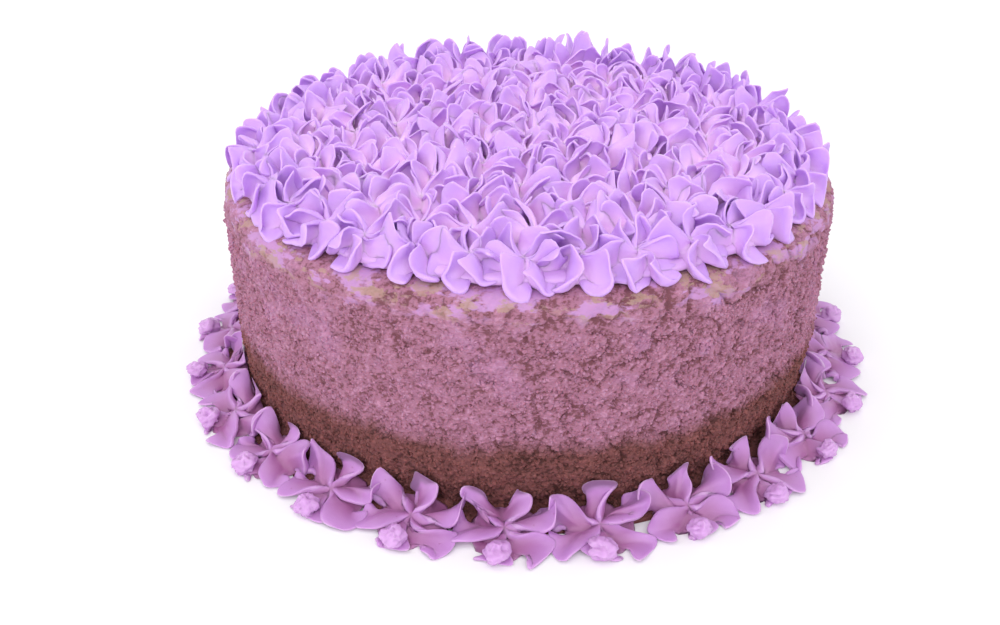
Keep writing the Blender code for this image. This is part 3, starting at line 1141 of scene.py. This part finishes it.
@dataclass
class TopIcing:
    """The spread icing and the drop flowers piped all over it."""

    rings: int = 6
    rim_radius: float = 0.0870
    spacing: float = 0.0152
    drift: float = 0.0016
    rim_drift: float = 0.4
    flower_radius: float = 0.0114
    flower_height: float = 0.0100
    petals: int = 6
    sizes: float = 0.09
    heights: float = 0.12
    petal_lengths: tuple[float, float] = (0.86, 1.04)
    petal_heights: tuple[float, float] = (0.78, 1.06)
    petal_lips: tuple[float, float] = (0.40, 0.80)
    petal_leans: tuple[float, float] = (-0.50, 0.40)
    curls: tuple[float, float] = (0.4, 1.3)
    lump: float = 0.0055
    lump_depth: float = 0.0011
    petal_spread: float = 0.10
    unevenness: float = 0.12
    rim_lean: float = math.radians(9.0)
    rim_tall: float = 0.92
    back_tall: float = 0.28  # how much taller the rim's petals are at the back
    leans: float = 0.06
    seed: int = 11
    detail_seed: int = 23
    brim: float = 0.0900  # from where the outermost lips droop and are drawn in
    brim_width: float = 0.0105
    droop: float = 0.0040
    spread_radius: float = 0.0930
    spread_thickness: float = 0.0030
    spread_depth: float = 0.25  # how deep its finish takes it to lie, for its painted pit shading
    spread_waves: tuple[float, float] = (0.0014, 0.0007)  # of its edge and of its surface
    spread_wave: float = 0.006  # width of a wave of its surface
    spread_lobes: float = 6.0  # how often its edge goes in and out
    gap: float = 0.0003

    def places(self) -> list[tuple[float, float, float, int]]:
        """Where each flower stands: x, y, bearing from the middle, and its ring.

        Returns:
            The places, from the middle out.
        """
        places = [(0.0, 0.0, 0.0, 0)]
        for ring in range(1, self.rings + 1):
            radius = self.rim_radius * ring / self.rings
            count = round(2.0 * math.pi * radius / self.spacing)
            for i in range(count):
                bearing = 2.0 * math.pi * (i + 0.5 * (ring % 2)) / count
                places.append((radius * math.cos(bearing), radius * math.sin(bearing), bearing, ring))
        return places

    def flower(
        self, place: tuple[float, float, float, int], rng: random.Random, more: random.Random
    ) -> Shape:
        """One flower in its place.

        Args:
            place: Where it stands.
            rng: Draws its place, size and petals, in the same order as for its plain solid.
            more: Draws what only the fine form has.

        Returns:
            Points, crest, depth and faces.
        """
        x, y, bearing, ring = place
        at_rim = ring == self.rings
        behind = max(0.0, math.sin(bearing))
        drift = self.rim_drift * self.drift if at_rim else self.drift
        x += rng.uniform(-drift, drift)
        y += rng.uniform(-drift, drift)
        radius = self.flower_radius * (1.0 + rng.uniform(-self.sizes, self.sizes))
        height = self.flower_height * (1.0 + rng.uniform(-self.heights, self.heights))
        start = rng.uniform(0.0, 2.0 * math.pi)
        rough = rough_petals(rng, start, self.petals, self.unevenness, self.petal_spread)
        hand = Hand(rng.choice((-1.0, 1.0)))
        lean = rng.uniform(-self.leans, self.leans) if not at_rim else self.rim_lean * (1.0 - behind)
        rise = self.rim_tall + self.back_tall * behind if at_rim else 1.0
        petals = [
            Petal(
                HOOK,
                dip,
                middle,
                length * more.uniform(*self.petal_lengths),
                tall * more.uniform(*self.petal_heights) * rise,
                hand.value * more.uniform(*self.petal_lips),
                hand.value * more.uniform(*self.petal_leans),
                more.uniform(0.0, 1.0),
                more.uniform(0.0, 2.0 * math.pi),
            )
            for dip, middle, length, tall in rough
        ]
        curl = hand.value * more.uniform(*self.curls)
        points, crest, depth, faces = flower_mesh(TOP_FORM, petals, radius, height, curl)
        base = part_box("cake_body")[1].z + self.gap + self.spread_thickness
        tilt = Matrix.Rotation(lean, 4, "Y")
        turn = Matrix.Rotation(bearing, 4, "Z") @ tilt @ Matrix.Rotation(-bearing, 4, "Z")
        points = moved(points, Matrix.Translation((x, y, base)) @ turn)
        points = lumps(points, self.lump, self.lump_depth)
        reach = np.hypot(points[:, 0], points[:, 1])
        drawn = self.brim + self.brim_width * np.tanh(np.maximum(reach - self.brim, 0.0) / self.brim_width)
        points[:, :2] *= (np.minimum(drawn, reach) / np.maximum(reach, 1e-9))[:, None]
        past = np.maximum(drawn - self.brim, 0.0) / self.brim_width
        low = np.clip(1.0 - (points[:, 2] - base) / self.flower_height, 0.0, 1.0)
        points[:, 2] -= self.droop * past**1.5 * low
        return points, crest, depth, faces

    def build(self, icing: bpy.types.Material, rim_icing: bpy.types.Material) -> list[bpy.types.Object]:
        """The flowers, in three pieces from the middle out, and the spread under them.

        Args:
            icing: The finish of the flowers inside the rim.
            rim_icing: The finish of the rim and the spread, a slightly darker copy of the top's icing,
                painted with shade.

        Returns:
            The pieces.
        """
        rng, more = random.Random(self.seed), random.Random(self.detail_seed)
        batches = {name: Batch() for name in ("inner_flowers", "outer_flowers", "rim_flowers")}
        for place in self.places():
            points, crest, depth, faces = self.flower(place, rng, more)
            share = place[3] / self.rings
            name = "rim_flowers" if share == 1.0 else "outer_flowers" if share > 0.5 else "inner_flowers"
            batches[name].add(points, faces, crest=crest, depth=depth)
        looks = {"rim_flowers": rim_icing}
        made = [batch.piece(name, looks.get(name, icing)) for name, batch in batches.items()]
        made.append(self.spread(rim_icing))
        for piece in made:
            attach(piece, BODY)
            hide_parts("top_icing")
        return made

    def spread(self, material: bpy.types.Material, columns: int = 240, rows: int = 40) -> bpy.types.Object:
        """The thin icing spread under the flowers, with a soft uneven edge.

        Args:
            material: Its finish.
            columns: How many points it has round the cake.
            rows: How many rings its flat top has.

        Returns:
            The spread.
        """
        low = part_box("cake_body")[1].z
        points = []
        edge = [(0.90, 0.0), (0.985, 0.0), (1.0, 0.35), (0.995, 0.75), (0.975, 1.0)]
        edge_wave, face_wave = self.spread_waves
        inner = [(share, 1.0) for share in np.linspace(0.95, 0.02, rows)]
        for share, up in [*edge, *inner]:
            for i in range(columns):
                bearing = 2.0 * math.pi * i / columns
                out = outward(bearing)
                radius = self.spread_radius * share + edge_wave * noise.noise(out * self.spread_lobes)
                thick = self.spread_thickness + face_wave * noise.noise(out * (radius / self.spread_wave))
                points.append(out * radius + Vector((0.0, 0.0, low + self.gap + up * thick)))
        base = low + self.gap
        ends = [Vector((0.0, 0.0, base)), Vector((0.0, 0.0, base + self.spread_thickness))]
        points = np.array([tuple(p) for p in [*points, *ends]])
        faces = ring_faces(len(edge) + len(inner), columns)
        numbers = {"depth": np.full(len(points), self.spread_depth), "crest": np.zeros(len(points))}
        return mesh_piece("spread_icing", points, faces, material, numbers)


NUB_WAVES = (  # waves across a nub, how far they swell it, and how deep they fold it
    (1.3, 0.34, 0.0),
    (1.9, 0.0, 0.42),
    (4.4, 0.0, 0.126),
)


@dataclass
class FootRing:
    """The drop flowers round the cake's foot, each with a rough nub where the piping was pulled away."""

    side: CakeSide
    count: int = 25
    ring_radius: float = 0.1070
    first_bearing: float = math.radians(-92.6)
    radius: float = 0.0152
    height: float = 0.0112
    petals: int = 6
    lean: float = math.radians(17.0)
    lift: float = 0.0012
    seed: int = 5
    detail_seed: int = 31
    sizes: float = 0.05
    heights: float = 0.08
    petal_spread: float = 0.07
    petal_lengths: tuple[float, float] = (0.94, 1.06)
    petal_heights: tuple[float, float] = (0.86, 1.10)
    petal_lips: tuple[float, float] = (0.85, 1.15)
    curls: tuple[float, float] = (0.0, 0.5)
    lump: float = 0.0070
    lump_depth: float = 0.0007
    lifted: float = 0.2  # share of a flower's height from where it is fully lifted
    unevenness: float = 0.12
    nub_size: tuple[float, float, float] = (0.0036, 0.0035, 0.0029)  # half its width, length and height
    nub_sizes: tuple[float, float] = (0.88, 1.14)
    nub_bulge: float = 1.08
    nub_pores: tuple[float, float] = (8.0, 0.05)  # fine waves across a nub, and how far they swell it
    nub_turn: float = 0.3
    nub_place: tuple[float, float, float] = (0.0017, 0.1166, 0.0029)
    nub_floor: float = 0.0002
    nub_looks: tuple[float, float] = (0.4, 0.9)  # crest and depth that its finish reads for its painted edge glow and pit shading
    wall_gap: float = 0.0014
    wall_softness: float = 0.0005
    forms: tuple[EdgeForm, ...] = (SCOOP, SCOOP, ARCH, TONGUE, ARCH, SCOOP)  # from the outermost petal round
    tallness: tuple[float, ...] = (0.60, 0.90, 1.00, 1.00, 1.00, 0.90)
    lengths: tuple[float, ...] = (0.62, 0.98, 1.04, 1.00, 1.04, 0.98)
    splay: tuple[float, ...] = (0.0, 0.09, 0.0, 0.0, 0.0, -0.09)  # turn of each petal away from the nub
    twist: float = math.radians(-11.0)  # how far the petals are turned against the nub's side of the solid
    twists: float = math.radians(7.0)
    hover: float = 0.0008  # over which height a petal comes to rest on the ground
    crowding: float = 0.0013  # how far a flower reaches past the line halfway to the next
    crowding_softness: float = 0.0008

    def bearing(self, index: int) -> float:
        """Where a flower of the ring stands, as an angle round the cake."""
        return self.first_bearing + 2.0 * math.pi * index / self.count

    def flower(self, index: int, rng: random.Random, more: random.Random) -> Shape:
        """One flower in its place, its inner petals against the cake.

        Args:
            index: Which flower, from 0.
            rng: Draws its size and petals, in the same order as for its plain solid.
            more: Draws what only the fine form has.

        Returns:
            Points, crest, depth and faces.
        """
        radius = self.radius * (1.0 + rng.uniform(-self.sizes, self.sizes))
        height = self.height * (1.0 + rng.uniform(-self.heights, self.heights))
        start = 0.5 * math.pi + self.twist + more.uniform(-self.twists, self.twists)
        rough = rough_petals(rng, start, self.petals, self.unevenness, self.petal_spread)
        hand = Hand(rng.choice((-1.0, 1.0)))
        petals = [
            Petal(
                self.forms[k],
                dip,
                middle + self.splay[k],
                length * more.uniform(*self.petal_lengths) * self.lengths[k],
                tall * more.uniform(*self.petal_heights) * self.tallness[k],
                more.choice((-1.0, 1.0)) * more.uniform(*self.petal_lips),
                0.0,
                0.0,
                more.uniform(0.0, 2.0 * math.pi),
            )
            for k, (dip, middle, length, tall) in enumerate(rough)
        ]
        curl = hand.value * more.uniform(*self.curls)
        points, crest, depth, faces = flower_mesh(FOOT_FORM, petals, radius, height, curl)
        points = lumps(points, self.lump, self.lump_depth)
        tilted = moved(points, Matrix.Rotation(-self.lean, 4, "X"))
        lifted = self.lift * np.clip(points[:, 2] / (self.lifted * height), 0.0, 1.0)
        rise = (tilted[:, 2] - lifted) / self.hover
        tilted[:, 2] += self.hover * (np.logaddexp(0.0, rise) - rise)
        tilted[:, 1] += self.ring_radius
        bearing = self.bearing(index)
        walls = np.array([self.side.radius_at(p[2], bearing - math.atan2(p[0], p[1])) for p in tilted])
        reach = np.hypot(tilted[:, 0], tilted[:, 1])
        inside = (walls + self.wall_gap - reach) / self.wall_softness
        tilted[:, :2] *= (1.0 + self.wall_softness * np.logaddexp(0.0, inside) / reach)[:, None]
        room = tilted[:, 1] * math.tan(math.pi / self.count) + self.crowding
        spare = (room - np.abs(tilted[:, 0])) / self.crowding_softness
        tilted[:, 0] = np.sign(tilted[:, 0]) * (room - self.crowding_softness * np.logaddexp(0.0, spare))
        placed = moved(tilted, Matrix.Rotation(bearing - 0.5 * math.pi, 4, "Z"))
        return placed, crest, depth, faces

    def nub(self, index: int, more: random.Random) -> tuple[Points, Faces]:
        """The crumpled end of the outermost petal.

        Args:
            index: Which flower, from 0.
            more: Draws its size and turn.

        Returns:
            Points and faces.
        """
        rows, columns = 22, 30
        width, length, height = (size * more.uniform(*self.nub_sizes) for size in self.nub_size)
        seed = Vector((index, 2.0 * index, 0.0))
        points = []
        for row in range(rows):
            tilt = math.pi * (row + 0.5) / rows
            for i in range(columns):
                way = outward(2.0 * math.pi * i / columns) * math.sin(tilt)
                way.z = -math.cos(tilt)
                bulge = self.nub_bulge + self.nub_pores[1] * noise.noise(way * self.nub_pores[0])
                for waves, swell, fold in NUB_WAVES:
                    wave = noise.noise(way * waves + seed)
                    bulge += swell * wave - fold * abs(wave)
                points.append((way.x * width * bulge, way.y * length * bulge, way.z * height * bulge))
        points += [(0.0, 0.0, -height), (0.0, 0.0, height)]
        turned = Matrix.Rotation(self.bearing(index) - 0.5 * math.pi, 4, "Z")
        place = turned @ Matrix.Translation(self.nub_place)
        own_turn = Matrix.Rotation(more.uniform(-self.nub_turn, self.nub_turn), 4, "Z")
        shaped = moved(np.array(points), place @ own_turn)
        shaped[:, 2] = np.maximum(shaped[:, 2], self.nub_floor)
        return shaped, ring_faces(rows, columns)

    def build(self, icing: bpy.types.Material, torn: bpy.types.Material) -> list[bpy.types.Object]:
        """Every flower as a piece of its own, and the nubs as one.

        Args:
            icing: The flowers' finish, a darker copy of the top's icing, painted with shade.
            torn: The nubs' finish.

        Returns:
            The pieces.
        """
        rng, more = random.Random(self.seed), random.Random(self.detail_seed)
        made = []
        nubs = Batch()
        for index in range(self.count):
            points, crest, depth, faces = self.flower(index, rng, more)
            name = f"foot_flower_{index + 1:02d}"
            piece = mesh_piece(f"piped_{name}", points, faces, icing, {"crest": crest, "depth": depth})
            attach(piece, BODY)
            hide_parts(name)
            made.append(piece)
            shape, skin = self.nub(index, more)
            crest, depth = (np.full(len(shape), look) for look in self.nub_looks)
            nubs.add(shape, skin, crest=crest, depth=depth)
        piece = nubs.piece("foot_nubs", torn)
        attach(piece, BODY)
        return [*made, piece]


@dataclass(frozen=True)
class Lamp:
    """A square lamp that faces the cake's middle."""

    name: str
    place: tuple[float, float, float]
    power: float
    tint: Colour
    size: float = 0.7
    aim: tuple[float, float, float] = (0.0, 0.0, 0.04)

    def build(self) -> None:
        """Adds the lamp to the scene."""
        data = bpy.data.lights.new(self.name, "AREA")
        data.size = self.size
        data.energy = self.power
        data.color = self.tint
        lamp = bpy.data.objects.new(self.name, data)
        lamp.location = self.place
        lamp.rotation_euler = (Vector(self.aim) - Vector(self.place)).to_track_quat("-Z", "Y").to_euler()
        bpy.context.scene.collection.objects.link(lamp)


@dataclass
class Studio:
    """A plain pale floor, soft light and the camera."""

    lens_share: float = 1058.5 / 1000.0  # focal length over the picture's width
    sensor: float = 36.0
    place: tuple[float, float, float] = (0.0, -0.3326, 0.2057)
    pitch: float = math.radians(30.42)
    yaw: float = math.radians(1.56)
    floor_half: float = 6.0
    sky: Colour = (0.97, 0.97, 1.0)
    sky_strength: float = 1.15
    lamps: tuple[Lamp, ...] = (
        Lamp("overhead", (-0.25, 0.05, 0.95), 1.0, (1.0, 0.98, 0.98)),
        Lamp("fill", (0.35, -0.70, 0.95), 1.5, (1.0, 0.98, 0.98)),
        Lamp("front", (-0.35, -0.95, 0.65), 3.1, (1.0, 0.97, 0.97)),
    )

    def camera(self) -> None:
        """Sets the camera where the picture was taken from."""
        data = bpy.data.cameras.new("camera")
        data.sensor_width = self.sensor
        data.lens = self.sensor * self.lens_share
        data.clip_start = 0.01
        camera = bpy.data.objects.new("camera", data)
        camera.location = self.place
        camera.rotation_euler = (0.5 * math.pi - self.pitch, 0.0, self.yaw)
        bpy.context.scene.collection.objects.link(camera)
        bpy.context.scene.camera = camera

    def floor(self) -> None:
        """A wide pale floor."""
        material, tree, shader = new_material("pale floor")
        place = tree.add("ShaderNodeTexCoord").outputs["Object"]
        colour = tree.mix(tree.noise(place, 0.6), (0.86, 0.86, 0.87), (0.90, 0.90, 0.90))
        tree.set(shader, Base_Color=colour, Roughness=0.9)
        ways = np.array([(-1.0, -1.0, 0.0), (1.0, -1.0, 0.0), (1.0, 1.0, 0.0), (-1.0, 1.0, 0.0)])
        corners = ways * self.floor_half
        mesh_piece("floor", corners, [(0, 1, 2, 3)], material)

    def build(self) -> None:
        """Everything round the cake."""
        scene = bpy.context.scene
        scene.view_settings.view_transform = "Standard"
        world = bpy.data.worlds.new("studio")
        world.use_nodes = True
        background = world.node_tree.nodes["Background"]
        background.inputs["Color"].default_value = (*self.sky, 1.0)
        background.inputs["Strength"].default_value = self.sky_strength
        scene.world = world
        self.floor()
        for lamp in self.lamps:
            lamp.build()
        self.camera()


# The top's pits are paler than its face: painted bounce light lifting the shade between petals, spread over
# the whole flower by open_depth=1.0.
TOP_ICING = IcingFinish(
    "lilac icing",
    (0.59, 0.35, 0.78),
    (0.66, 0.42, 0.84),
    (0.90, 0.62, 0.88),
    open_depth=1.0,
)
# The rim's icing is a slightly darker copy of the top's: painted shade for the rim and the spread, its pits
# still paler as painted bounce light.
RIM_ICING = IcingFinish("rim icing", (0.57, 0.33, 0.77), (0.65, 0.41, 0.83), (0.72, 0.45, 0.79))
# The foot's icing is a darker, pinker copy of the top's: painted shade under the cake's side, with dark pits
# for painted shade between petals and pale edges for painted glow.
SHADED_FOOT_ICING = IcingFinish("foot icing", (0.50, 0.235, 0.57), (0.70, 0.43, 0.72), (0.36, 0.12, 0.29))
TORN_ICING = IcingFinish(
    "torn icing",
    (0.60, 0.32, 0.66),
    (0.80, 0.56, 0.82),
    (0.44, 0.20, 0.44),
    roughness=0.25,
    crumple=0.9,
)
# Pale, middle and dark paint highlight and shade on the crumbs; the last colour is the painted shade towards
# the foot.
COAT = CrumbFinish(
    "crumb coat",
    (0.48, 0.235, 0.35),
    (0.36, 0.155, 0.235),
    (0.18, 0.065, 0.085),
    (0.155, 0.052, 0.043),
)
GRAINS = CrumbFinish(
    "crumb grains",
    (0.48, 0.235, 0.35),
    (0.37, 0.16, 0.24),
    (0.21, 0.08, 0.105),
    (0.17, 0.058, 0.048),
    shows_through=False,
)


def main() -> None:
    """Builds and dresses every piece."""
    logging.basicConfig(level=logging.INFO, format="%(name)s: %(message)s")
    Studio().build()
    side = CakeSide()
    made = [side.build(COAT.make())]
    grains = GRAINS.make()
    grounds = [(kind, made[0].data) for kind in CRUMB_KINDS] + [(FALLEN, side.heap(grains).data)]
    made += [CrumbScatter(kind, ground, grains).build() for kind, ground in grounds]
    made += TopIcing().build(TOP_ICING.make(), RIM_ICING.make())
    made += FootRing(side).build(SHADED_FOOT_ICING.make(), TORN_ICING.make())
    for piece in made:
        log.info("%s has %d faces", piece.name, len(piece.data.polygons))


if __name__ == "__main__":
    main()
